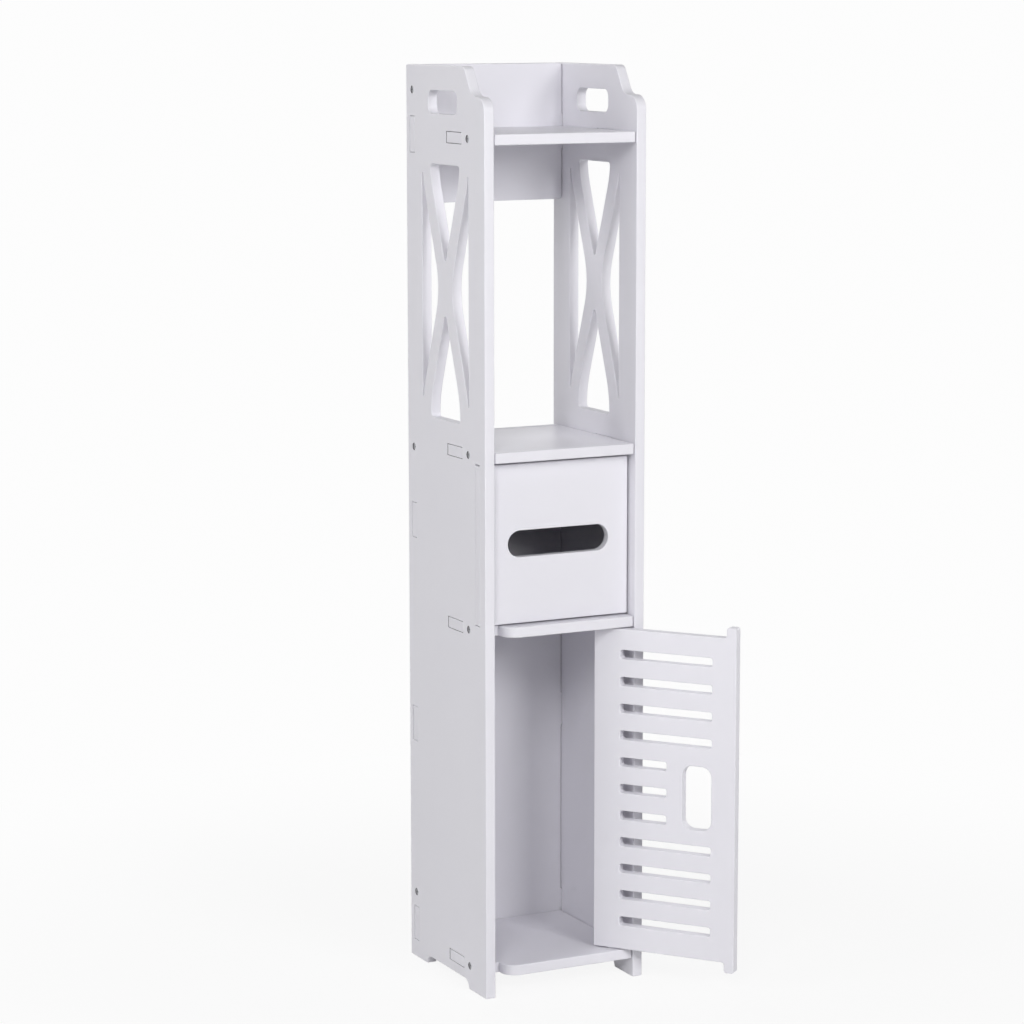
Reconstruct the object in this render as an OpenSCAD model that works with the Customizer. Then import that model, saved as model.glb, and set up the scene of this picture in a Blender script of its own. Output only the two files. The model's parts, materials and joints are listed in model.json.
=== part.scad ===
// Slim bathroom cabinet made of white boards that slot and screw together.
// From the top it has a tray with carrying holes, an open bay between crossed lattice
// sides, a roll compartment whose front slides out to the left, and a cupboard with a
// slatted door that turns on two pins.
// Inside this file X runs from the left side to the right side, Y from the front edges
// to the back and Z up from the floor, all starting at the left front foot. placed()
// then moves each piece so that the origin is the middle of the base of the box around
// the cabinet with its door standing open.

/* [Cabinet] */
// Width across both sides
cabinet_w = 200; // [180:1:280]
// Depth from the front edges to the back edges of the sides
cabinet_d = 200; // [180:1:250]
// Height from the floor to the top of the sides
cabinet_h = 1040; // [960:1:1300]
// Thickness of the boards
board_t = 12; // [10:0.5:16]

/* [Bays] */
// Height of the lowest shelf's underside above the floor
bottom_shelf_z = 22; // [15:1:60]
// Clear height of the cupboard behind the door
door_bay_h = 377; // [320:1:460]
// Clear height of the roll compartment
roll_bay_h = 185; // [150:1:230]
// Depth of the top tray, from its floor to the top of the sides
tray_h = 72; // [60:1:100]
// How far the shelves' front edges lie behind those of the sides
shelf_inset = 1; // [0:0.5:6]

/* [Board joints] */
// Length of a shelf's tab
shelf_tab_l = 37; // [20:1:60]
// Distance from the front edge to a shelf's tab
shelf_tab_y = 57; // [50:1:80]
// Height of a back panel's tab
back_tab_h = 40; // [20:1:60]
// Number of tabs on each edge of the lower back panel
back_tab_n = 3; // [2:1:4]
// Distance from the lower back panel's top edge down to its highest tabs
back_tab_drop = 79; // [30:1:120]
// Clearance round a tab in its slot
tab_gap = 0.25; // [0.05:0.05:0.4]
// How far the back panels lie in front of the sides' back edges
back_inset = 10; // [4:0.5:20]
// Height of the lower back panel's bottom edge above the floor
back_foot_z = 21; // [12:1:60]
// Height of the upper back panel
upper_back_h = 156; // [110:1:200]
// Radius of the back panels' corners
back_corner_r = 4; // [1:0.5:10]

/* [Sides] */
// How far the front shoulder lies below the top
shoulder_drop = 32; // [24:1:50]
// Slope of the shoulder
shoulder_slope = 59; // [45:1:75]
// Radius at the head of the slope
crest_r = 10; // [4:1:14]
// Radius at the foot of the slope
dip_r = 17; // [8:1:24]
// Radius where the shoulder meets the front edge
brow_r = 17; // [6:1:20]
// Length of the level stretch behind that radius
brow_flat = 4.5; // [0:0.5:12]
// Length of each foot
foot_l = 44; // [30:1:60]
// Height of the arch between the feet
arch_h = 10; // [5:1:16]
// Radius at the arch's ends
arch_r = 12; // [10:1:20]
// Length of the carrying hole
handle_l = 74; // [60:1:100]
// Height of the carrying hole
handle_h = 26; // [22:1:36]
// Corner radius of the carrying hole
handle_r = 9; // [4:1:11]
// How far the hole's middle lies behind the side's middle
handle_back = 5; // [-5:1:15]
// Distance from the top down to the hole's middle
handle_drop = 40.5; // [30:0.5:50]

/* [Lattice] */
// Width of the upright stiles in front of and behind the lattice
stile_w = 40.5; // [30:0.5:50]
// Board left between the open bay's floor and the lattice
lattice_foot = 26; // [10:1:40]
// Board left between the lattice and the tray
lattice_head = 25; // [10:1:40]
// How far the crossing lies above the lattice's middle
cross_rise = 5; // [0:1:20]
// Width of a lattice arm, measured square to it
arm_w = 21; // [15:0.5:24]
// Half the width of the lattice at its crossing
waist = 18.5; // [12:0.5:20]
// Radius of the arms' bend at the crossing
waist_r = 80; // [30:5:120]
// Radius of the arms' bend at their ends
arm_end_r = 115; // [30:5:150]
// Gap between a stile and the arms' ends, if the side openings ran that far
arm_end_gap = 1.3; // [0.5:0.1:4]
// How far short of the arms' ends the side openings close
slit_stop = 17; // [10:1:30]
// Radius of the upper and lower openings' points
point_r = 3.5; // [1:0.5:4]
// Radius of the upper and lower openings' outer corners
lattice_r = 4; // [2:0.5:8]

/* [Roll compartment front] */
// Thickness of the sliding front
slider_t = 10; // [8:0.5:12]
// How far the sliding front lies behind the sides' front edges
slider_y = 14.5; // [10:0.5:24]
// Clearance in front of and below the sliding front, and round its tongue
slider_gap = 0.5; // [0.3:0.1:1]
// Gap above the sliding front
slider_top_gap = 1.5; // [0.5:0.5:3]
// Room behind the sliding front in the left side's slot
slider_room = 3; // [0.5:0.5:5]
// Height of the slot's lower end above the compartment's floor
side_slot_foot = 1.5; // [0:0.5:3]
// Gap between the sliding front's right end and the right side
slider_end_gap = 2; // [1:0.5:3]
// Thickness of the tongue on its right end
tongue_t = 4; // [3:0.5:6]
// Depth of the groove that holds the tongue
groove_d = 3; // [2:0.5:5]
// Width of the paper window
window_w = 126; // [110:1:134]
// Height of the paper window, whose ends are half round
window_h = 30; // [20:1:40]
// How far the window's middle lies left of the cabinet's middle
window_left = 1.5; // [-10:0.5:10]
// Height of the window's middle above the compartment's floor
window_z = 91.5; // [60:0.5:110]

/* [Door] */
// Gap between the door and each side
door_side_gap = 1.5; // [1:0.1:3]
// Gap above and below the door
door_end_gap = 1.5; // [1:0.1:3]
// Distance from the front edges to the closed door's face
door_inset = 10; // [6:0.5:14]
// Distance from the door's edge to its pins
pin_inset = 19; // [12:0.5:24]
// Clearance left between the fully open door and the right side's front edge
open_gap = 0.3; // [0.1:0.1:1]
// Width of the stops at the door's free edge
stop_w = 12; // [8:0.5:16]
// How far the stops' ends fall short of the shelves' far faces
stop_short = 1.5; // [0.5:0.5:5]
// Corner radius of the stops
stop_r = 3; // [1:0.5:4]
// Clearance between a closed stop and the shelf behind it
stop_gap = 0.5; // [0.3:0.1:1]
// Clearance between a stop and the shelf beside it
stop_side_gap = 1.5; // [1:0.1:4]
// Radius of the shelf corner beside a stop
shelf_corner_r = 18; // [6:1:24]

/* [Door openings] */
// Number of slots
slot_n = 11; // [7:1:13]
// Height of a slot
slot_h = 10.5; // [8:0.5:14]
// Corner radius of a slot
slot_r = 3; // [1:0.5:4]
// Board left above the highest and below the lowest slot, were they in the middle
slot_margin = 26; // [20:1:40]
// How far the slots' middle lies above the door's middle
slot_lift = 2; // [-4:0.5:4]
// Board left between the slots and the pinned edge
slot_pin_side = 32; // [28:1:45]
// Board left between the slots and the free edge
slot_free_side = 29; // [20:1:40]
// Width of the finger hole
grip_w = 35; // [28:1:44]
// Height of the finger hole
grip_h = 74; // [60:1:80]
// Corner radius of the finger hole
grip_r = 12; // [6:1:14]
// Board left between the finger hole and the slots beside it
grip_side = 19.5; // [12:0.5:24]

/* [Fasteners] */
// Diameter of the door's pins
pin_d = 5; // [4:0.5:6]
// Length of a pin inside the door
pin_hold = 15; // [10:1:20]
// Length of a pin inside a shelf
pin_reach = 8; // [6:0.5:8.5]
// Running clearance round a pin, on the radius
pin_play = 0.08; // [0.02:0.01:0.1]
// Diameter of the collar that spaces the door from a shelf
collar_d = 9; // [7:0.5:11]
// Running clearance between a collar and the shelf
collar_play = 0.1; // [0.05:0.05:0.3]
// Diameter of a screw's head
screw_head_d = 8.4; // [7:0.1:9]
// Diameter of a screw's shank
screw_d = 4; // [3:0.1:4.5]
// Length of a screw
screw_l = 32; // [26:1:40]
// How far the heads lie below the sides' faces
screw_sink = 1.1; // [0.1:0.1:1.5]
// Clearance round a screw, on the radius
screw_gap = 0.05; // [0.02:0.01:0.1]
// Distance from the front edge to the shelves' screws
shelf_screw_y = 42; // [30:1:46]
// Distance from the top down to the upper back panel's screws
upper_back_screw = 28; // [15:1:40]
// Distance from the lower back panel's top edge down to its upper screws
lower_back_screw_top = 14; // [8:1:30]
// Distance from the lower back panel's bottom edge up to its lower screws
lower_back_screw_foot = 58; // [50:1:80]

/* [Hidden] */
$fn = 48;

board_colour = "#f0f0f4";
steel_colour = "#9a9da2";

// Overrun of a cutting tool past the face it starts from
cut = 1;
// Straight pieces that stand in for a bend of a lattice arm
bend_steps = 8;
// Share of the largest possible bends that leaves a straight stretch between them
bend_share = 0.9;
// Share of an opening's point radius at which its straight edges start
point_bite = 0.98;
// Straight rim of a screw's countersunk head
screw_rim = 0.5;
// Cross slot in a screw's head: length and width, then depth
cross_l = screw_head_d * 0.55;
cross_w = screw_d * 0.28;
cross_deep = screw_d * 0.35;

// Levels
bottom_top = bottom_shelf_z + board_t;
door_head_z = bottom_top + door_bay_h;
roll_floor = door_head_z + board_t;
middle_z = roll_floor + roll_bay_h;
middle_top = middle_z + board_t;
tray_floor = cabinet_h - tray_h;
top_shelf_z = tray_floor - board_t;

// Plan
inner_x = board_t;
inner_w = cabinet_w - 2 * board_t;
back_y = cabinet_d - back_inset - board_t;
back_mid_y = back_y + board_t / 2;
upper_back_z = cabinet_h - upper_back_h;
highest_tab = middle_top - back_tab_drop - back_tab_h;

// Shoulder of the sides
shoulder_z = cabinet_h - shoulder_drop;
dip_y = brow_r + brow_flat;
slope_foot = [dip_y + dip_r * sin(shoulder_slope),
    shoulder_z + dip_r * (1 - cos(shoulder_slope))];
slope_head_z = cabinet_h - crest_r * (1 - cos(shoulder_slope));
slope_head_y = slope_foot[0] + (slope_head_z - slope_foot[1]) / tan(shoulder_slope);
crest_y = slope_head_y + crest_r * sin(shoulder_slope);

// Lattice, measured from its crossing: across from the middle, and up or down
lattice_low = middle_top + lattice_foot;
lattice_high = top_shelf_z - lattice_head;
cross_z = (lattice_low + lattice_high) / 2 + cross_rise;
lattice_half = cabinet_d / 2 - stile_w;
arm_reach = (lattice_high - lattice_low) / 2;
arm_end = lattice_half - arm_end_gap;
arm_shift = arm_end - waist;
// The two bends shrink together where a short or narrow lattice has no room for them
bend_room = bend_share * (pow(arm_shift, 2) + pow(arm_reach, 2)) / (2 * arm_shift);
bend_scale = min(1, bend_room / (waist_r + arm_end_r));
bend_1 = waist_r * bend_scale;
bend_2 = arm_end_r * bend_scale;
bends = bend_1 + bend_2;
// Slope of an arm's straight stretch, tangent to both bends
arm_slope = atan2(arm_reach, bends - arm_shift)
    - acos(bends / norm([bends - arm_shift, arm_reach]));
straight_from = bend_1 * sin(arm_slope);
straight_to = arm_reach - bend_2 * sin(arm_slope);
straight_x = waist + bend_1 * (1 - cos(arm_slope));
slit_reach = arm_reach - slit_stop;
// Inner edge of an arm, parallel to its outer edge and straight from its bend to the point
inner_bend = bend_2 - arm_w;
inner_to = arm_reach - inner_bend * sin(arm_slope);
inner_from = straight_x - straight_from * tan(arm_slope) - arm_w / cos(arm_slope);
point_z = (point_r / cos(arm_slope) - inner_from) / tan(arm_slope);

// Door
door_w = inner_w - 2 * door_side_gap;
door_h = door_bay_h - 2 * door_end_gap;
door_z = bottom_top + door_end_gap;
pin_x = cabinet_w - board_t - door_side_gap - pin_inset;
pin_y = door_inset + board_t / 2;
door_free = door_w - pin_inset;
stop_h = door_end_gap + board_t - stop_short;
// The door opens until its face meets the right side's inner front edge, which lies
// this far from the pins, across and in depth
edge_from_pin = [door_side_gap + pin_inset, pin_y];
door_open = 180 - atan2(edge_from_pin[1], edge_from_pin[0])
    - asin((board_t / 2 + open_gap) / norm(edge_from_pin));
// Direction from the pins to the free edge
door_turn = 180 + door_open;
notch_w = door_side_gap + stop_w + stop_side_gap;
notch_d = door_inset + board_t + stop_gap;
slot_from = slot_pin_side - pin_inset;
slot_to = door_free - slot_free_side;
slot_pitch = (door_h - 2 * slot_margin - slot_h) / (slot_n - 1);
collar_t = door_end_gap - collar_play;

// Sliding front and its tongue, the slot in the left side and the groove in the right
slider_l = cabinet_w - board_t - slider_end_gap;
side_slot_z = roll_floor + side_slot_foot;
slider_z = side_slot_z + slider_gap;
slider_h = middle_z - slider_top_gap - slider_z;
tongue_l = slider_end_gap + groove_d - slider_gap;
tongue_y = slider_y + slider_t - tongue_t;
side_slot_y = slider_y - slider_gap;
side_slot_w = slider_gap + slider_t + slider_room;
groove_w = tongue_t + 2 * slider_gap;

// Box around the cabinet and its open door
door_corners = [for (s = [-pin_inset, door_free], t = [-board_t / 2, board_t / 2])
    [pin_x + s * cos(door_turn) - t * sin(door_turn),
     pin_y + s * sin(door_turn) + t * cos(door_turn)]];
box_low = [for (i = [0, 1]) min(0, min([for (c = door_corners) c[i]]))];
box_high = [for (i = [0, 1])
    max(i == 0 ? cabinet_w : cabinet_d, max([for (c = door_corners) c[i]]))];
origin_x = (box_low[0] + box_high[0]) / 2;
origin_y = (box_low[1] + box_high[1]) / 2;

// Moves a piece from the cabinet's front left foot to the origin
module placed() {
    translate([-origin_x, -origin_y, 0]) children();
}

// A piece and its mirror image on the other side of the cabinet
module both_sides() {
    children();
    translate([cabinet_w, 0, 0]) mirror([1, 0, 0]) children();
}

// A flat shape drawn across and up, given a thickness towards the back
module standing(y, t) {
    translate([0, y + t, 0]) rotate([90, 0, 0]) linear_extrude(t) children();
}

// Rectangle about its middle with round corners
module round_rect(w, h, r) {
    square([w - 2 * r, h], center = true);
    square([w, h - 2 * r], center = true);
    for (x = [-1, 1], y = [-1, 1])
        translate([x * (w / 2 - r), y * (h / 2 - r)]) circle(r);
}

// Half width of the side openings' inner edge at a height h from the crossing
function arm_x(h) =
    h < straight_from ? waist + bend_1 - sqrt(pow(bend_1, 2) - pow(h, 2)) :
    h < straight_to ? straight_x + (h - straight_from) * tan(arm_slope) :
    h < arm_reach ? arm_end - bend_2 + sqrt(pow(bend_2, 2) - pow(arm_reach - h, 2)) :
    arm_end;

// Half width of the upper and lower openings at a height h from the crossing
function opening_x(h) =
    h < inner_to ? inner_from + h * tan(arm_slope) :
    h < arm_reach ? arm_end - bend_2 + sqrt(pow(inner_bend, 2) - pow(arm_reach - h, 2)) :
    arm_end - arm_w;

// Heights between two limits at which an arm's outline needs a point
function arm_stations(low, high) = concat(
    [low],
    [for (i = [1:bend_steps]) let (h = bend_1 * sin(arm_slope * i / bend_steps))
        if (h > low && h < high) h],
    [for (i = [bend_steps:-1:0]) let (h = arm_reach - bend_2 * sin(arm_slope * i / bend_steps))
        if (h > low && h < high) h],
    [high]);

// Opening between the arms and one stile, to the right of the crossing
module side_opening() {
    upper = [for (h = arm_stations(0, slit_reach)) [arm_x(h), h]];
    lower = [for (i = [len(upper) - 1:-1:1]) [upper[i][0], -upper[i][1]]];
    end_r = (lattice_half - arm_x(slit_reach)) / 2;
    polygon(concat(lower, upper, [[lattice_half, slit_reach], [lattice_half, -slit_reach]]));
    for (s = [-1, 1])
        translate([lattice_half - end_r, s * slit_reach]) circle(end_r);
}

// Opening above the crossing, as tall as reach
module end_opening(reach) {
    corner = reach - lattice_r;
    // The inner edges start just inside the point's circle, where they would touch it
    touch = [0, point_z] + point_bite * point_r * [cos(arm_slope), -sin(arm_slope)];
    bend = [for (i = [bend_steps:-1:0])
        let (h = arm_reach - inner_bend * sin(arm_slope * i / bend_steps))
            if (h < corner) [opening_x(h), h]];
    edge = concat([touch], bend, [[opening_x(corner), corner]]);
    other = [for (i = [len(edge) - 1:-1:0]) [-edge[i][0], edge[i][1]]];
    corner_x = opening_x(corner) - lattice_r;
    polygon(concat(edge, other));
    translate([0, point_z]) circle(point_r);
    translate([-corner_x, corner - cut]) square([2 * corner_x, lattice_r + cut]);
    for (s = [-1, 1])
        translate([s * corner_x, corner]) circle(lattice_r);
}

// The four openings that leave the crossed arms standing
module lattice() {
    for (s = [0, 1]) mirror([s, 0]) side_opening();
    end_opening(lattice_high - cross_z);
    mirror([0, 1]) end_opening(cross_z - lattice_low);
}

// Outer outline of a side, with its shoulder and its two feet
module side_outline() {
    difference() {
        union() {
            polygon([[0, 0], [cabinet_d, 0], [cabinet_d, cabinet_h], [crest_y, cabinet_h],
                [slope_head_y, slope_head_z], slope_foot, [dip_y, shoulder_z],
                [brow_r, shoulder_z], [0, shoulder_z - brow_r]]);
            translate([brow_r, shoulder_z - brow_r]) circle(brow_r);
            translate([crest_y, cabinet_h - crest_r]) circle(crest_r);
        }
        translate([dip_y, shoulder_z + dip_r]) circle(dip_r);
        translate([foot_l + arch_r, -cut])
            square([cabinet_d - 2 * (foot_l + arch_r), arch_h + cut]);
        for (y = [foot_l + arch_r, cabinet_d - foot_l - arch_r])
            translate([y, arch_h - arch_r]) circle(arch_r);
    }
}

// Heights of the back panels' tabs, at their lower ends
function upper_back_tabs() = [upper_back_z + (upper_back_h - back_tab_h) / 2];
function lower_back_tabs() = [for (i = [0:back_tab_n - 1])
    back_foot_z + i * (highest_tab - back_foot_z) / (back_tab_n - 1)];

// A side seen from outside, with every opening that goes right through
module side_profile() {
    difference() {
        side_outline();
        translate([cabinet_d / 2 + handle_back, cabinet_h - handle_drop])
            round_rect(handle_l, handle_h, handle_r);
        translate([cabinet_d / 2, cross_z]) lattice();
        for (z = [bottom_shelf_z, door_head_z, middle_z, top_shelf_z])
            translate([shelf_tab_y - tab_gap, z - tab_gap])
                square([shelf_tab_l + 2 * tab_gap, board_t + 2 * tab_gap]);
        for (z = concat(upper_back_tabs(), lower_back_tabs()))
            translate([back_y - tab_gap, z - tab_gap])
                square([board_t + 2 * tab_gap, back_tab_h + 2 * tab_gap]);
    }
}

// A side lying against X = 0, inner face towards +X, without its slot or groove
module side_board() {
    difference() {
        rotate([90, 0, 90]) linear_extrude(board_t) side_profile();
        for (z = [bottom_shelf_z, door_head_z, middle_z, top_shelf_z])
            translate([0, shelf_screw_y, z + board_t / 2]) screw_seat();
        for (z = [upper_back_screw_z(), lower_back_screw_top_z(), lower_back_screw_foot_z()])
            translate([0, back_mid_y, z]) screw_seat();
    }
}

function upper_back_screw_z() = cabinet_h - upper_back_screw;
function lower_back_screw_top_z() = middle_top - lower_back_screw_top;
function lower_back_screw_foot_z() = back_foot_z + lower_back_screw_foot;

module left_side_panel() {
    color(board_colour) placed() difference() {
        side_board();
        translate([-cut, side_slot_y, side_slot_z])
            cube([board_t + 2 * cut, side_slot_w, middle_z - side_slot_z]);
    }
}

module right_side_panel() {
    color(board_colour) placed() translate([cabinet_w, 0, 0]) mirror([1, 0, 0]) difference() {
        side_board();
        translate([board_t - groove_d, tongue_y - slider_gap, side_slot_z])
            cube([groove_d + cut, groove_w, middle_z - side_slot_z]);
    }
}

// Plan of a shelf with its two tabs
module shelf_plan() {
    translate([inner_x, shelf_inset]) square([inner_w, back_y - shelf_inset]);
    translate([0, shelf_tab_y]) square([cabinet_w, shelf_tab_l]);
}

// What the stop of the closed door takes out of a shelf's left front corner
module stop_notch() {
    corner_x = inner_x + notch_w;
    translate([inner_x - cut, -cut]) square([notch_w + cut, notch_d + cut]);
    difference() {
        translate([corner_x - cut, shelf_inset - cut])
            square([shelf_corner_r + cut, shelf_corner_r + cut]);
        translate([corner_x + shelf_corner_r, shelf_inset + shelf_corner_r])
            circle(shelf_corner_r);
        translate([corner_x, shelf_inset + shelf_corner_r])
            square([shelf_corner_r, cut]);
    }
}

// A shelf with a screw hole in each end
module shelf(z, notched = false) {
    color(board_colour) placed() difference() {
        translate([0, 0, z]) linear_extrude(board_t) difference() {
            shelf_plan();
            if (notched) stop_notch();
        }
        both_sides() translate([0, shelf_screw_y, z + board_t / 2]) screw_hole();
    }
}

// Hole for a door pin, opening at height z and running up or down with dir
module pin_bore(z, dir) {
    translate([pin_x, pin_y, z]) mirror([0, 0, dir > 0 ? 0 : 1]) translate([0, 0, -cut])
        cylinder(h = pin_reach + collar_play + cut, d = pin_d + 2 * pin_play);
}

module top_shelf() {
    shelf(top_shelf_z);
}

module middle_shelf() {
    shelf(middle_z);
}

module door_head_shelf() {
    color(board_colour) difference() {
        shelf(door_head_z, notched = true);
        placed() pin_bore(door_head_z, 1);
    }
}

module bottom_shelf() {
    color(board_colour) difference() {
        shelf(bottom_shelf_z, notched = true);
        placed() pin_bore(bottom_top, -1);
    }
}

// A back panel between two heights, with tabs and screw holes at the heights given
module back_panel(low, high, tabs, screws) {
    color(board_colour) placed() difference() {
        standing(back_y, board_t) {
            translate([cabinet_w / 2, (low + high) / 2])
                round_rect(inner_w, high - low, back_corner_r);
            for (z = tabs)
                translate([0, z]) square([cabinet_w, back_tab_h]);
        }
        for (z = screws)
            both_sides() translate([0, back_mid_y, z]) screw_hole();
    }
}

module upper_back_panel() {
    back_panel(upper_back_z, cabinet_h, upper_back_tabs(), [upper_back_screw_z()]);
}

module lower_back_panel() {
    back_panel(back_foot_z, middle_top, lower_back_tabs(),
        [lower_back_screw_top_z(), lower_back_screw_foot_z()]);
}

// Paper window with half round ends
module window() {
    square([window_w - window_h, window_h], center = true);
    for (x = [-1, 1])
        translate([x * (window_w - window_h) / 2, 0]) circle(d = window_h);
}

// Sliding front of the roll compartment, flush with the left side's outer face, with the
// tongue that runs in the right side
module dispenser_front() {
    color(board_colour) placed() {
        standing(slider_y, slider_t) difference() {
            translate([0, slider_z]) square([slider_l, slider_h]);
            translate([cabinet_w / 2 - window_left, roll_floor + window_z]) window();
        }
        standing(tongue_y, tongue_t) translate([slider_l - cut, slider_z])
            square([tongue_l + cut, slider_h]);
    }
}

// Moves a piece from the pins' axis, with the free edge towards +X, to the open door
module hung() {
    translate([pin_x, pin_y, 0]) rotate([0, 0, door_turn]) children();
}

// One stop, drawn above the door's upper edge
module door_stop() {
    translate([door_free - stop_w, door_z + door_h - cut])
        square([stop_w, stop_h - stop_r + cut]);
    translate([door_free - stop_w + stop_r, door_z + door_h - cut])
        square([stop_w - 2 * stop_r, stop_h + cut]);
    for (s = [door_free - stop_w + stop_r, door_free - stop_r])
        translate([s, door_z + door_h + stop_h - stop_r]) circle(stop_r);
    // Round inner corner where the stop meets the door
    difference() {
        translate([door_free - stop_w - stop_r, door_z + door_h - cut])
            square([stop_r + cut, stop_r + cut]);
        translate([door_free - stop_w - stop_r, door_z + door_h + stop_r]) circle(stop_r);
    }
}

// The slots, cut short beside the finger hole
module door_slots() {
    middle = door_z + door_h / 2;
    beside = (grip_h + slot_h) / 2;
    short_to = slot_to - grip_w - grip_side;
    for (i = [0:slot_n - 1]) {
        z = door_z + slot_margin + slot_lift + slot_h / 2 + i * slot_pitch;
        to = abs(z - middle) < beside ? short_to : slot_to;
        translate([(slot_from + to) / 2, z]) round_rect(to - slot_from, slot_h, slot_r);
    }
    translate([slot_to - grip_w / 2, middle]) round_rect(grip_w, grip_h, grip_r);
}

module door_outline() {
    translate([-pin_inset, door_z]) square([door_w, door_h]);
    door_stop();
    translate([0, 2 * door_z + door_h]) mirror([0, 1]) door_stop();
}

module door() {
    color(board_colour) placed() hung() difference() {
        standing(-board_t / 2, board_t) difference() {
            door_outline();
            door_slots();
        }
        for (z = [door_z - cut, door_z + door_h - pin_hold])
            translate([0, 0, z]) cylinder(h = pin_hold + cut, d = pin_d + 2 * screw_gap);
    }
}

// A pin that stands on the door's edge, free end up
module door_pin() {
    translate([0, 0, -pin_hold]) cylinder(h = pin_hold + door_end_gap + pin_reach, d = pin_d);
    cylinder(h = collar_t, d = collar_d);
}

module door_pin_top() {
    color(steel_colour) placed() hung() translate([0, 0, door_z + door_h]) door_pin();
}

module door_pin_bottom() {
    color(steel_colour) placed() hung() translate([0, 0, door_z]) mirror([0, 0, 1]) door_pin();
}

// Half outline of a countersunk screw grown by a clearance, from its head down
function screw_half(gap) = [[0, 0], [screw_head_d / 2 + gap, 0],
    [screw_head_d / 2 + gap, screw_rim],
    [screw_d / 2 + gap, screw_rim + (screw_head_d - screw_d) / 2],
    [screw_d / 2 + gap, screw_l - screw_d], [0, screw_l]];

// A turned shape with its axis along +X
module turned_along_x(points) {
    rotate([0, 90, 0]) rotate_extrude() polygon(points);
}

// Countersunk hole from a side's outer face
module screw_seat() {
    translate([screw_sink, 0, 0]) turned_along_x(screw_half(screw_gap));
    translate([-cut, 0, 0]) rotate([0, 90, 0])
        cylinder(h = cut + screw_sink, d = screw_head_d + 2 * screw_gap);
}

// Straight hole that takes the shank beyond a side
module screw_hole() {
    rotate([0, 90, 0]) cylinder(h = screw_l + 2 * screw_sink, d = screw_d + 2 * screw_gap);
}

// Screw with a cross slot, its head outwards on the left side
module screw() {
    translate([screw_sink, 0, 0]) difference() {
        turned_along_x(screw_half(0));
        for (turn = [0, 90])
            rotate([turn, 0, 0]) translate([-cut, -cross_l / 2, -cross_w / 2])
                cube([cut + cross_deep, cross_l, cross_w]);
    }
}

// One screw through each side at the place given
module screw_pair(y, z) {
    color(steel_colour) placed() both_sides() translate([0, y, z]) screw();
}

module top_shelf_screws() {
    screw_pair(shelf_screw_y, top_shelf_z + board_t / 2);
}

module middle_shelf_screws() {
    screw_pair(shelf_screw_y, middle_z + board_t / 2);
}

module door_head_shelf_screws() {
    screw_pair(shelf_screw_y, door_head_z + board_t / 2);
}

module bottom_shelf_screws() {
    screw_pair(shelf_screw_y, bottom_shelf_z + board_t / 2);
}

module upper_back_screws() {
    screw_pair(back_mid_y, upper_back_screw_z());
}

module lower_back_screws_top() {
    screw_pair(back_mid_y, lower_back_screw_top_z());
}

module lower_back_screws_foot() {
    screw_pair(back_mid_y, lower_back_screw_foot_z());
}

left_side_panel();
right_side_panel();
top_shelf();
middle_shelf();
door_head_shelf();
bottom_shelf();
upper_back_panel();
lower_back_panel();
dispenser_front();
door();
door_pin_top();
door_pin_bottom();
top_shelf_screws();
middle_shelf_screws();
door_head_shelf_screws();
bottom_shelf_screws();
upper_back_screws();
lower_back_screws_top();
lower_back_screws_foot();
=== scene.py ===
import json
import math

import bpy
from mathutils import Matrix, Vector
from mathutils.geometry import delaunay_2d_cdt


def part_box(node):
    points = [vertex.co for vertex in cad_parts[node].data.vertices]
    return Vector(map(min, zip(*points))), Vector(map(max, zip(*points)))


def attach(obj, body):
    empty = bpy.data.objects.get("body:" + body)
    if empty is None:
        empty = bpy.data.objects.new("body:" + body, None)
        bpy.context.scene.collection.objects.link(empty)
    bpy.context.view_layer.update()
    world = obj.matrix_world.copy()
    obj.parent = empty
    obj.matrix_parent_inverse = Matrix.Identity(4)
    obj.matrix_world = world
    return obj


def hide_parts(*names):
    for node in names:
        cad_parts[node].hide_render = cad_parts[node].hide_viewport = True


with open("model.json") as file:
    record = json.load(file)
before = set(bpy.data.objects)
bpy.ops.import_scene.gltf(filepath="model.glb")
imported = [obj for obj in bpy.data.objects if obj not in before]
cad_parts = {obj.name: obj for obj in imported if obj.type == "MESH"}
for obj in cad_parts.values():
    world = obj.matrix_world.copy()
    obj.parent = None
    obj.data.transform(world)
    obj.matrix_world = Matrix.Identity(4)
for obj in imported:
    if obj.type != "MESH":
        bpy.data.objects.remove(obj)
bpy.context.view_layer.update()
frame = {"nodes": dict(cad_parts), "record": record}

MM = 0.001

# Boards, and the width of each one's eased edges in millimetres
EASED = {
    "left_side_panel": 1.1,
    "right_side_panel": 1.1,
    "top_shelf": 1.2,
    "middle_shelf": 1.2,
    "door_head_shelf": 1.2,
    "bottom_shelf": 1.2,
    "upper_back_panel": 1.1,
    "lower_back_panel": 1.1,
    "dispenser_front": 0.8,
    "door": 1.0,
}
SIDES = ("left_side_panel", "right_side_panel")
MOVING = ("dispenser_front", "door")

# Tabs and their slots are eased by this many millimetres
TAB_EASE = 0.4
# A rim shorter than this is that of a bore or a screw seat, which isn't eased
BORE_RIM = 40 * MM
# An opening in a side that is narrower than this is a slot or a groove
SIDE_SLOT = 14 * MM
# A four-cornered one narrower than this takes a tab, the other takes the sliding front
TAB_SLOT = 12.6 * MM
# Slots and grooves longer than this belong to the sliding front, and don't get the dark painted shade
LONG_SLOT = 100 * MM

# What shelves and backs stand off the left and the right side, and the length that is drawn in
SHELF_SEAMS = (1.4 * MM, 0.9 * MM)
BACK_SEAMS = (0.5 * MM, 0.6 * MM)
DRAWN = 20 * MM
# A slot's play behind its tab and above and below it, and inside the cabinet in front of the tab
PLAY_BEHIND = 1.4 * MM
PLAY_ABOVE = 0.35 * MM
PLAY_FRONT = 0.7 * MM
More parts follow.
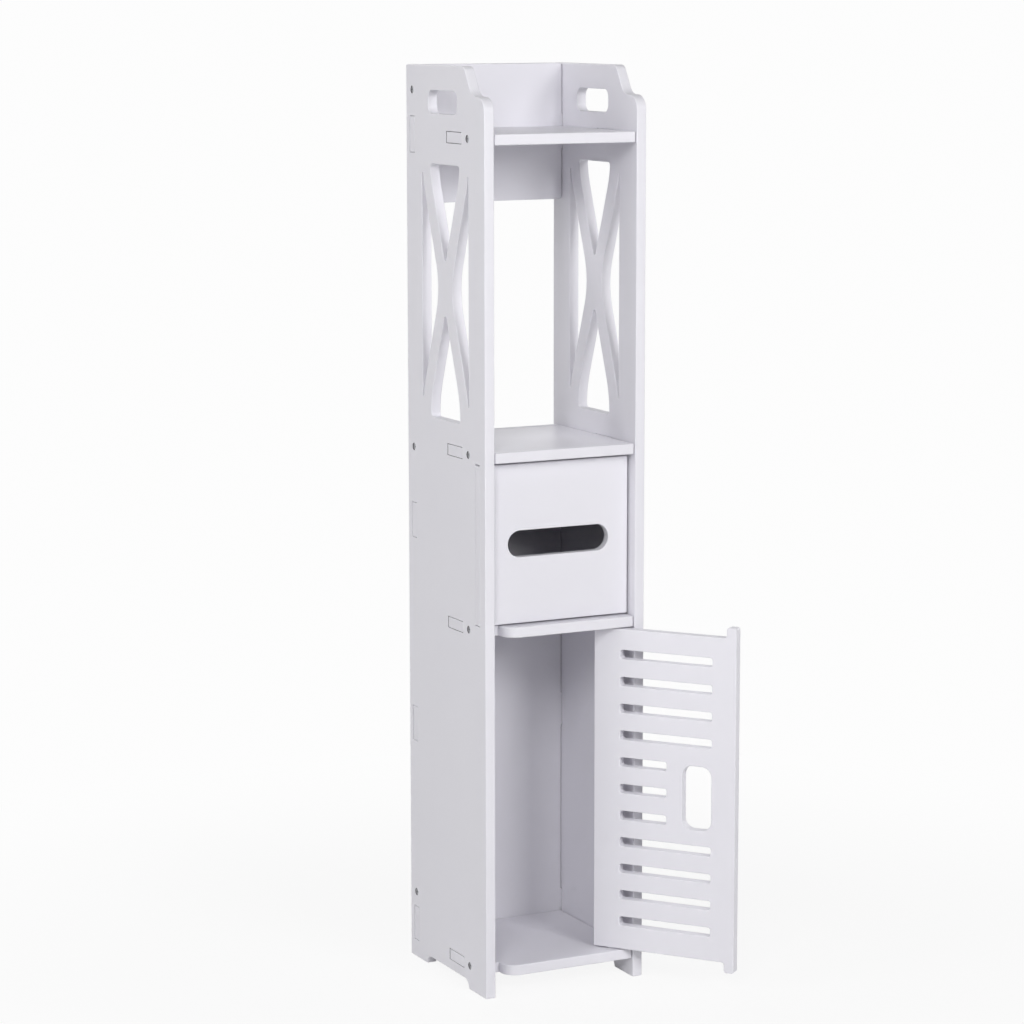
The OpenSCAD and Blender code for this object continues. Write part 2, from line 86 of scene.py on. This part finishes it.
# Play behind and above the sliding front, and how much lower its top edge is than the CAD's
SLIDER_PLAY = (0.4 * MM, 1.6 * MM)
SLIDER_DROP = 2.0 * MM

# A corner of an outline that turns by between these many degrees is rounded, by this many times
# the ease of its edge
CORNER_TURN = (60, 120)
CORNER = 1.5
# Steps of a quarter round or a rounded corner
ARC_STEPS = 3
# The least share by which a mitre divides, so that a sharp corner isn't drawn far out
MITRE = 0.3
# Edges that turn by more degrees than this are shaded as sharp
SHARP = 35
# Points in the same step of this size are one point
SAME = 0.01 * MM
# What lies this near to a plane lies in it
NEAR = 0.02 * MM
# Points of a filled outline that are nearer than this are joined
JOINED = 0.001 * MM
# Directions whose product is above this are the same
ALIGNED = 0.999

# Base colours of the board's faces and of the dark painted shade in its slots and bores, and what the
# uneven spots take of the colour
WHITE = (0.775, 0.765, 0.812)
# Dark grey painted on the walls of the sides' narrow slots and bores, as the shade inside them
SLOT_SHADE_GREY = (0.20, 0.19, 0.20)
UNEVEN = (0.985, 0.985, 0.99)

# The photo's camera: its place from the middle of the cabinet's base, its turn to the right, its
# tilt down and its lean in radians, and its lens and sensor in millimetres
CAMERA_PLACE = Vector((-1.6297, -3.2135, 1.1134))
TURN = 0.4652
TILT = 0.1593
LEAN = -0.0011
LENS = 112.456
SENSOR = 36
VIEW_END = 100

# Lamps: name, degrees to the left of the front, degrees up, metres away, size in metres, watts
LAMPS = [
    ("front_lamp", -11, 21, 3.6, 1.1, 55),
    ("side_lamp", 36, 30, 3.6, 1.2, 47),
    ("left_lamp", 86, 24, 3.2, 1.2, 28),
    ("right_lamp", -110, 12, 3.6, 1.5, 27),
    ("back_lamp", 175, 28, 3.6, 1.5, 31),
]
AIM = Vector((0, 0.05, 0.52))
SKY = 0.05

# Half the floor's width in metres, how far it lies under the feet, and its colour in plain light
FLOOR_HALF = 12
FLOOR_DROP = 0.2 * MM
FLOOR_GREY = 0.90
# Colour of the backdrop, share of the floor's own shading near the object, and where it fades out
BACKDROP = 0.98
SHADOW_SHARE = 0.09
SHADOW_FADE = (0.35, 1.1)


# Materials

def node_tools(node_tree):
    """Empties a node tree. Gives a function that adds a node to it and one that links two."""
    node_tree.nodes.clear()

    def add(kind, **values):
        node = node_tree.nodes.new(kind)
        for key, value in values.items():
            if hasattr(node, key):
                setattr(node, key, value)
            else:
                node.inputs[key.replace("_", " ")].default_value = value
        return node

    def link(source, output, target, entry):
        node_tree.links.new(source.outputs[output], target.inputs[entry])

    return add, link


def new_material(name):
    """A new material and the tools for its nodes."""
    mat = bpy.data.materials.new(name)
    mat.use_nodes = True
    return mat, *node_tools(mat.node_tree)


def noisy_material(name, shading, colours, stops, roughness, bump, noises):
    """A material whose colour, roughness and bump follow noise, each of its own scale and detail."""
    mat, add, link = new_material(name)
    out = add("ShaderNodeOutputMaterial")
    shader = add("ShaderNodeBsdfPrincipled", **shading)
    link(shader, "BSDF", out, "Surface")
    place = add("ShaderNodeTexCoord")
    clouds, patches, grain = (add("ShaderNodeTexNoise", Scale=s, Detail=d) for s, d in noises)
    for noise in (clouds, patches, grain):
        link(place, "Object", noise, "Vector")

    tint = add("ShaderNodeValToRGB")
    for element, stop, colour in zip(tint.color_ramp.elements, stops, colours):
        element.position = stop
        element.color = (*colour, 1)
    link(clouds, "Fac", tint, "Fac")
    link(tint, "Color", shader, "Base Color")

    rough = add("ShaderNodeMapRange", To_Min=roughness[0], To_Max=roughness[1])
    link(patches, "Fac", rough, "Value")
    link(rough, "Result", shader, "Roughness")

    relief = add("ShaderNodeBump", **bump)
    link(grain, "Fac", relief, "Height")
    link(relief, "Normal", shader, "Normal")
    return mat


def board_material(name, base, roughness, grain):
    """White foamed board: a faint orange peel over slightly uneven white, coarser where it is cut."""
    return noisy_material(
        name,
        shading={"IOR": 1.46},
        colours=([value * share for value, share in zip(base, UNEVEN)], base),
        stops=(0.3, 0.7),
        roughness=roughness,
        bump={"Strength": grain, "Distance": 0.0002},
        noises=((7.0, 3.0), (35.0, 4.0), (900.0, 2.0)),
    )


def steel_material():
    """Zinc-plated steel with fine turning marks."""
    return noisy_material(
        "steel",
        shading={"Metallic": 1.0, "Roughness": 0.35},
        colours=((0.46, 0.47, 0.49), (0.68, 0.69, 0.71)),
        stops=(0.0, 1.0),
        roughness=(0.28, 0.45),
        bump={"Strength": 0.15, "Distance": 0.0001},
        noises=((600.0, 3.0),) * 3,
    )


def seen(add, link):
    """1 for what the camera sees directly or in a reflection or refraction, 0 for light."""
    path = add("ShaderNodeLightPath")
    glossy = add("ShaderNodeMath", operation="MAXIMUM")
    link(path, "Is Camera Ray", glossy, 0)
    link(path, "Is Glossy Ray", glossy, 1)
    both = add("ShaderNodeMath", operation="MAXIMUM")
    link(glossy, 0, both, 0)
    link(path, "Is Transmission Ray", both, 1)
    return both


def floor_material():
    """Plain pale floor that keeps the object's shadow and fades into the backdrop further out."""
    mat, add, link = new_material("studio_floor")
    out = add("ShaderNodeOutputMaterial")
    paint = add("ShaderNodeBsdfDiffuse", Color=(FLOOR_GREY, FLOOR_GREY, FLOOR_GREY, 1))
    glow = add("ShaderNodeEmission", Color=(BACKDROP, BACKDROP, BACKDROP, 1), Strength=1.0)
    place = add("ShaderNodeTexCoord")
    away = add("ShaderNodeVectorMath", operation="LENGTH")
    link(place, "Object", away, 0)
    fade = add(
        "ShaderNodeMapRange",
        interpolation_type="SMOOTHSTEP",
        From_Min=SHADOW_FADE[0],
        From_Max=SHADOW_FADE[1],
        To_Min=1 - SHADOW_SHARE,
        To_Max=1.0,
    )
    link(away, "Value", fade, "Value")
    share = add("ShaderNodeMath", operation="MULTIPLY")
    link(seen(add, link), 0, share, 0)
    link(fade, "Result", share, 1)
    mix = add("ShaderNodeMixShader")
    link(share, 0, mix, "Fac")
    link(paint, "BSDF", mix, 1)
    link(glow, "Emission", mix, 2)
    link(mix, "Shader", out, "Surface")
    return mat


# Boards with eased edges

def spot(point):
    """A point's place in whole steps, which tells points apart where the mesh has seams."""
    return tuple(round(c / SAME) for c in point)


def middle_of(points, rim):
    """The mean place of a rim's points."""
    return sum((points[k] for k in rim), Vector()) / len(rim)


def extents(points, numbers):
    """How far some points spread along x, y and z, from the least to the most."""
    box = [[points[k][c] for k in numbers] for c in range(3)]
    return sorted(max(values) - min(values) for values in box)


def welded(mesh):
    """A mesh's points without its seams, and its faces as rows of point numbers with normals."""
    numbers, points, index = {}, [], []
    for vertex in mesh.vertices:
        number = numbers.setdefault(spot(vertex.co), len(points))
        if number == len(points):
            points.append(vertex.co.copy())
        index.append(number)
    faces = []
    for face in mesh.polygons:
        row = [index[i] for i in face.vertices]
        if len(set(row)) == len(row):
            faces.append((row, face.normal.copy()))
    return points, faces


def board_axis(mesh):
    """The direction across the board, which most of its surface faces."""
    totals = {}
    for face in mesh.polygons:
        key = tuple(round(abs(c), 2) for c in face.normal)
        area, first = totals.get(key, (0, face.normal.copy()))
        totals[key] = (area + face.area, first)
    return max(totals.values(), key=lambda pair: pair[0])[1]


def split_faces(points, faces, axis):
    """The faces in the board's two outer planes, by side, and all the others as walls."""
    heights = [p.dot(axis) for p in points]
    level = {-1: min(heights), 1: max(heights)}
    outer, walls = {-1: [], 1: []}, []
    for row, normal in faces:
        side = round(normal.dot(axis))
        if side and all(abs(heights[i] - level[side]) < NEAR for i in row):
            outer[side].append(row)
        else:
            walls.append((row, normal))
    return outer, walls


def rims(rows):
    """Closed rims of some faces, as rows of point numbers with the faces on their left."""
    sides = {side for row in rows for side in zip(row, row[1:] + row[:1])}
    ahead = {a: b for a, b in sides if (b, a) not in sides}
    found = []
    while ahead:
        start, point = ahead.popitem()
        rim = [start]
        while point != start:
            rim.append(point)
            point = ahead.pop(point)
        found.append(rim)
    return found


def turn(points, rim, i, out):
    """Directions into and out of a rim's point, and the directions from there into the face."""
    here = points[rim[i]]
    into = (here - points[rim[i - 1]]).normalized()
    away = (points[rim[(i + 1) % len(rim)]] - here).normalized()
    return into, away, out.cross(into), out.cross(away)


def round_corner(points, walls, top, bottom, i, axis, radius):
    """Rounds an outline's corner, where one straight edge joins the two rims, if it is a plain one."""
    into, away, left, right = turn(points, top, i, axis)
    bend = into.angle(away)
    least, most = (math.radians(degrees) for degrees in CORNER_TURN)
    if into.cross(away).dot(axis) <= 0 or not least < bend < most:
        return
    high = top[i]
    flat = spot(points[high] - axis * points[high].dot(axis))
    below = [k for k in bottom if spot(points[k] - axis * points[k].dot(axis)) == flat]
    if len(below) != 1:
        return
    low = below[0]
    touching = [w for w in walls if high in w[0] or low in w[0]]
    if any(max(-n.dot(left), -n.dot(right)) < ALIGNED for _, n in touching):
        return
    reach = radius * math.tan(bend / 2)
    start = points[high] - into * reach
    centre = start + left * radius
    drop = points[low] - points[high]
    upper, lower = [], []
    for step in range(ARC_STEPS + 1):
        angle = bend * step / ARC_STEPS
        place = centre + (into * math.sin(angle) - left * math.cos(angle)) * radius
        upper.append(len(points))
        lower.append(len(points) + 1)
        points += [place, place + drop]
    for row, normal in touching:
        end = 0 if -normal.dot(left) > ALIGNED else -1
        row[:] = [upper[end] if k == high else lower[end] if k == low else k for k in row]
    for step in range(ARC_STEPS):
        row = [upper[step], lower[step], lower[step + 1], upper[step + 1]]
        a, b, c = (points[k] for k in row[:3])
        walls.append((row, (b - a).cross(c - b).normalized()))
    top[i:i + 1] = upper
    at = bottom.index(low)
    bottom[at:at + 1] = lower[::-1]


def ease_rim(points, rim, out, width_at):
    """A quarter round along a rim, whose own points move down the walls. Gives its inner rim."""
    paths = []
    for i, number in enumerate(rim):
        _, _, left, right = turn(points, rim, i, out)
        inward = (left + right) / max(MITRE, 1 + left.dot(right))
        paths.append((points[number].copy(), inward, width_at(points[number]) * MM))
    rings = [rim]
    for step in range(1, ARC_STEPS + 1):
        angle = math.radians(90) * step / ARC_STEPS
        ring = []
        for here, inward, width in paths:
            ring.append(len(points))
            slide = inward * (1 - math.cos(angle)) - out * (1 - math.sin(angle))
            points.append(here + slide * width)
        rings.append(ring)
    for number, (here, _, width) in zip(rim, paths):
        points[number] = here - out * width
    faces = []
    for low, high in zip(rings, rings[1:]):
        for i in range(len(rim)):
            j = (i + 1) % len(rim)
            faces.append([low[i], low[j], high[j], high[i]])
    return rings[-1], faces


def fill(points, edges, out):
    """Triangles between rims that have the face on their left."""
    guide = Vector((0, 0, 1)) if abs(out.z) < 0.5 else Vector((0, 1, 0))
    across = guide.cross(out).normalized()
    up = out.cross(across)
    order = [k for rim in edges for k in rim]
    flat = [Vector((points[k].dot(across), points[k].dot(up))) for k in order]
    lines, base = [], 0
    for rim in edges:
        lines += [(base + i, base + (i + 1) % len(rim)) for i in range(len(rim))]
        base += len(rim)
    made, _, triangles, sources, _, _ = delaunay_2d_cdt(flat, lines, [], 1, JOINED)
    number = []
    for place, origin in zip(made, sources):
        if origin:
            number.append(order[origin[0]])
        else:
            number.append(len(points))
            points.append(across * place.x + up * place.y + out * points[order[0]].dot(out))
    same = {order[k]: number[i] for i, origin in enumerate(sources) for k in origin}
    fence = {(same[order[a]], same[order[b]]) for a, b in lines}
    rows = [[number[i] for i in triangle] for triangle in triangles]
    owner = {side: i for i, row in enumerate(rows) for side in zip(row, row[1:] + row[:1])}
    # From the triangles beside the rims, the face spreads over every side that isn't a rim's
    queue = [owner[side] for side in fence if side in owner]
    inside = set(queue)
    while queue:
        row = rows[queue.pop()]
        for a, b in zip(row, row[1:] + row[:1]):
            beyond = owner.get((b, a))
            if (a, b) not in fence and beyond is not None and beyond not in inside:
                inside.add(beyond)
                queue.append(beyond)
    return [rows[i] for i in inside]


def is_slot(points, rim):
    """Whether a rim in a side is that of a slot, a groove or a bore."""
    return extents(points, rim)[1] < SIDE_SLOT


def rim_ease(points, rim, width):
    """How far a rim is eased: nothing round a bore, little round a slot, else the full width."""
    length = sum((points[a] - points[b]).length for a, b in zip(rim, rim[1:] + rim[:1]))
    if length < BORE_RIM:
        return 0
    return TAB_EASE if is_slot(points, rim) else width


def loosen(points, rim, inner):
    """Play round a tab in its slot: behind, above and below outside, in front of a back's tab inside."""
    middle = middle_of(points, rim)
    depth = max(abs(points[k].y - middle.y) for k in rim)
    height = max(abs(points[k].z - middle.z) for k in rim)
    outside = not inner[0] - NEAR < middle.x < inner[1] + NEAR
    for k in rim:
        behind = points[k].y > middle.y
        if outside:
            if behind:
                points[k].y += PLAY_BEHIND
            points[k].z += math.copysign(PLAY_ABOVE, points[k].z - middle.z)
        elif height > depth and not behind:
            points[k].y -= PLAY_FRONT


def close_up(points, rim):
    """Closes up the slot behind and above the sliding front."""
    middle = middle_of(points, rim)
    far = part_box("dispenser_front")[1]
    for k in rim:
        if points[k].y > middle.y:
            points[k].y = far.y + SLIDER_PLAY[0]
        if points[k].z > middle.z:
            points[k].z = far.z - SLIDER_DROP + SLIDER_PLAY[1]


def stand_off(points, inner, seams):
    """Draws a board's ends in a little from the sides' inner faces. Its tabs keep their places."""
    for point in points:
        left, right = point.x - inner[0], inner[1] - point.x
        if -NEAR < left < DRAWN:
            point.x += seams[0] * (1 - left / DRAWN)
        elif -NEAR < right < DRAWN:
            point.x -= seams[1] * (1 - right / DRAWN)


def lower_top(points):
    """Lowers the sliding front's top edge, which leaves a dark gap under the shelf."""
    top = max(point.z for point in points)
    for point in points:
        if top - point.z < NEAR:
            point.z -= SLIDER_DROP


def is_shaded_slot(points, rows):
    """Whether some joined walls are those of a bore or a tab's slot, which are painted dark grey as
    shade.
    """
    _, middle, longest = extents(points, {k for row in rows for k in row})
    return middle < SIDE_SLOT and longest < LONG_SLOT


def joined_walls(walls):
    """Groups of walls that share points: one for the outline and one for each opening."""
    group, members = {}, {}
    for number, (row, _) in enumerate(walls):
        met = {group[k] for k in row if k in group}
        rows = [number]
        for other in met:
            rows += members.pop(other)
        members[number] = rows
        for i in rows:
            for k in walls[i][0]:
                group[k] = number
    return [[walls[i][0] for i in rows] for rows in members.values()]


def eased_board(name, width):
    """A board's mesh with quarter rounds along its edges, in three materials: skin, edge and the dark
    painted shade of slots and bores.
    """
    source = frame["nodes"][name].data
    inner = (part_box("left_side_panel")[1].x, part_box("right_side_panel")[0].x)
    side = name in SIDES
    joined = not side and name not in MOVING

    def width_at(point):
        return TAB_EASE if joined and not inner[0] < point.x < inner[1] else width

    points, faces = welded(source)
    axis = board_axis(source)
    if joined:
        stand_off(points, inner, SHELF_SEAMS if name.endswith("shelf") else BACK_SEAMS)
    if name == "dispenser_front":
        lower_top(points)
    outer, walls = split_faces(points, faces, axis)
    edges = {level: rims(rows) for level, rows in outer.items()}
    if side:
        for rim in edges[1] + edges[-1]:
            if len(rim) == 4 and extents(points, rim)[1] < TAB_SLOT:
                loosen(points, rim, inner)
            elif len(rim) == 4 and name == "left_side_panel":
                close_up(points, rim)
    for top in edges[1]:
        for i in range(len(top) - 1, -1, -1):
            for bottom in edges[-1]:
                radius = CORNER * width_at(points[top[i]]) * MM
                round_corner(points, walls, top, bottom, i, axis, radius)

    skin, cut, slot_shade = [], [], []
    for rows in joined_walls(walls):
        # Walls of the sides' bores and tab slots take the dark grey painted shade
        if side and is_shaded_slot(points, rows):
            slot_shade += rows
        else:
            cut += rows
    for level, group in edges.items():
        inside = []
        for rim in group:
            share = rim_ease(points, rim, width)
            if share:
                rim, strips = ease_rim(points, rim, axis * level, lambda p: min(share, width_at(p)))
                cut += strips
            inside.append(rim)
        skin += fill(points, inside, axis * level)

    mesh = bpy.data.meshes.new(name + "_board")
    mesh.from_pydata(points, [], skin + cut + slot_shade)
    kinds = [0] * len(skin) + [1] * len(cut) + [2] * len(slot_shade)
    for face, kind in zip(mesh.polygons, kinds):
        face.material_index = kind
        face.use_smooth = True
    mesh.set_sharp_from_angle(angle=math.radians(SHARP))
    return mesh


def make_board(name, width, materials):
    """The board that stands for a CAD node, at the same place and size."""
    mesh = eased_board(name, width)
    for material in materials:
        mesh.materials.append(material)
    board = bpy.data.objects.new(name + "_board", mesh)
    bpy.context.scene.collection.objects.link(board)
    smooth = board.modifiers.new("normals", "WEIGHTED_NORMAL")
    smooth.keep_sharp = True
    smooth.weight = 100
    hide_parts(name)
    for body, nodes in frame["record"]["behaviour"]["bodies"].items():
        if name in nodes:
            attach(board, body)


def paint(obj, mat):
    """Gives a CAD node's object one material."""
    obj.data.materials.clear()
    obj.data.materials.append(mat)


# Camera, lights and stage

def make_camera():
    """Camera of the photograph."""
    low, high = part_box("left_side_panel")
    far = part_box("right_side_panel")[1]
    base = Vector(((low.x + far.x) / 2, (low.y + high.y) / 2, 0))
    level = math.cos(TILT)
    ahead = Vector((math.sin(TURN) * level, math.cos(TURN) * level, -math.sin(TILT)))
    flat = Vector((math.cos(TURN), -math.sin(TURN), 0))
    steep = flat.cross(ahead)
    right = flat * math.cos(LEAN) + steep * math.sin(LEAN)
    up = steep * math.cos(LEAN) - flat * math.sin(LEAN)
    data = bpy.data.cameras.new("camera")
    data.sensor_width = SENSOR
    data.lens = LENS
    data.clip_end = VIEW_END
    cam = bpy.data.objects.new("camera", data)
    facing = Matrix((right, up, -ahead)).transposed().to_4x4()
    cam.matrix_world = Matrix.Translation(base + CAMERA_PLACE) @ facing
    bpy.context.scene.collection.objects.link(cam)
    bpy.context.scene.camera = cam


def make_lamp(name, place, size, power):
    """Square area light at a place, turned to the object."""
    data = bpy.data.lights.new(name, "AREA")
    data.energy = power
    data.size = size
    obj = bpy.data.objects.new(name, data)
    obj.location = place
    obj.rotation_mode = "QUATERNION"
    obj.rotation_quaternion = (AIM - place).to_track_quat("-Z", "Y")
    bpy.context.scene.collection.objects.link(obj)


def make_light():
    """Soft lamps in front and on the left, weaker ones for the other sides, and a dim even sky."""
    for name, turn_left, height, reach, size, power in LAMPS:
        azimuth, elevation = math.radians(turn_left), math.radians(height)
        level = math.cos(elevation)
        ray = Vector((-math.sin(azimuth) * level, -math.cos(azimuth) * level, math.sin(elevation)))
        make_lamp(name, AIM + ray * reach, size, power)
    world = bpy.data.worlds.new("world")
    bpy.context.scene.world = world
    world.use_nodes = True
    add, link = node_tools(world.node_tree)
    out = add("ShaderNodeOutputWorld")
    light = add("ShaderNodeBackground", Color=(1.0, 1.0, 1.0, 1), Strength=SKY)
    backdrop = add("ShaderNodeBackground", Color=(BACKDROP, BACKDROP, BACKDROP, 1), Strength=1.0)
    mix = add("ShaderNodeMixShader")
    link(seen(add, link), 0, mix, "Fac")
    link(light, "Background", mix, 1)
    link(backdrop, "Background", mix, 2)
    link(mix, "Shader", out, "Surface")


def make_floor():
    """Wide plain floor, a hair under the feet."""
    corners = [(-1, -1), (1, -1), (1, 1), (-1, 1)]
    mesh = bpy.data.meshes.new("floor")
    mesh.from_pydata([(x * FLOOR_HALF, y * FLOOR_HALF, 0) for x, y in corners], [], [(0, 1, 2, 3)])
    floor = bpy.data.objects.new("floor", mesh)
    floor.location.z = -FLOOR_DROP
    floor.data.materials.append(floor_material())
    bpy.context.scene.collection.objects.link(floor)


make_camera()
make_light()
make_floor()
board_materials_and_slot_shade = (
    board_material("board_skin", WHITE, roughness=(0.27, 0.37), grain=0.05),
    board_material("board_edge", WHITE, roughness=(0.40, 0.54), grain=0.14),
    # Dark grey painted shade for the walls of the sides' slots and bores, not a colour of the board
    board_material("board_slot_shade", SLOT_SHADE_GREY, roughness=(0.70, 0.85), grain=0.3),
)
steel = steel_material()
for node, obj in frame["nodes"].items():
    if node in EASED:
        make_board(node, EASED[node], board_materials_and_slot_shade)
        paint(obj, board_materials_and_slot_shade[0])
    else:
        paint(obj, steel)
bpy.context.scene.view_settings.view_transform = "Standard"

bpy.context.view_layer.update()
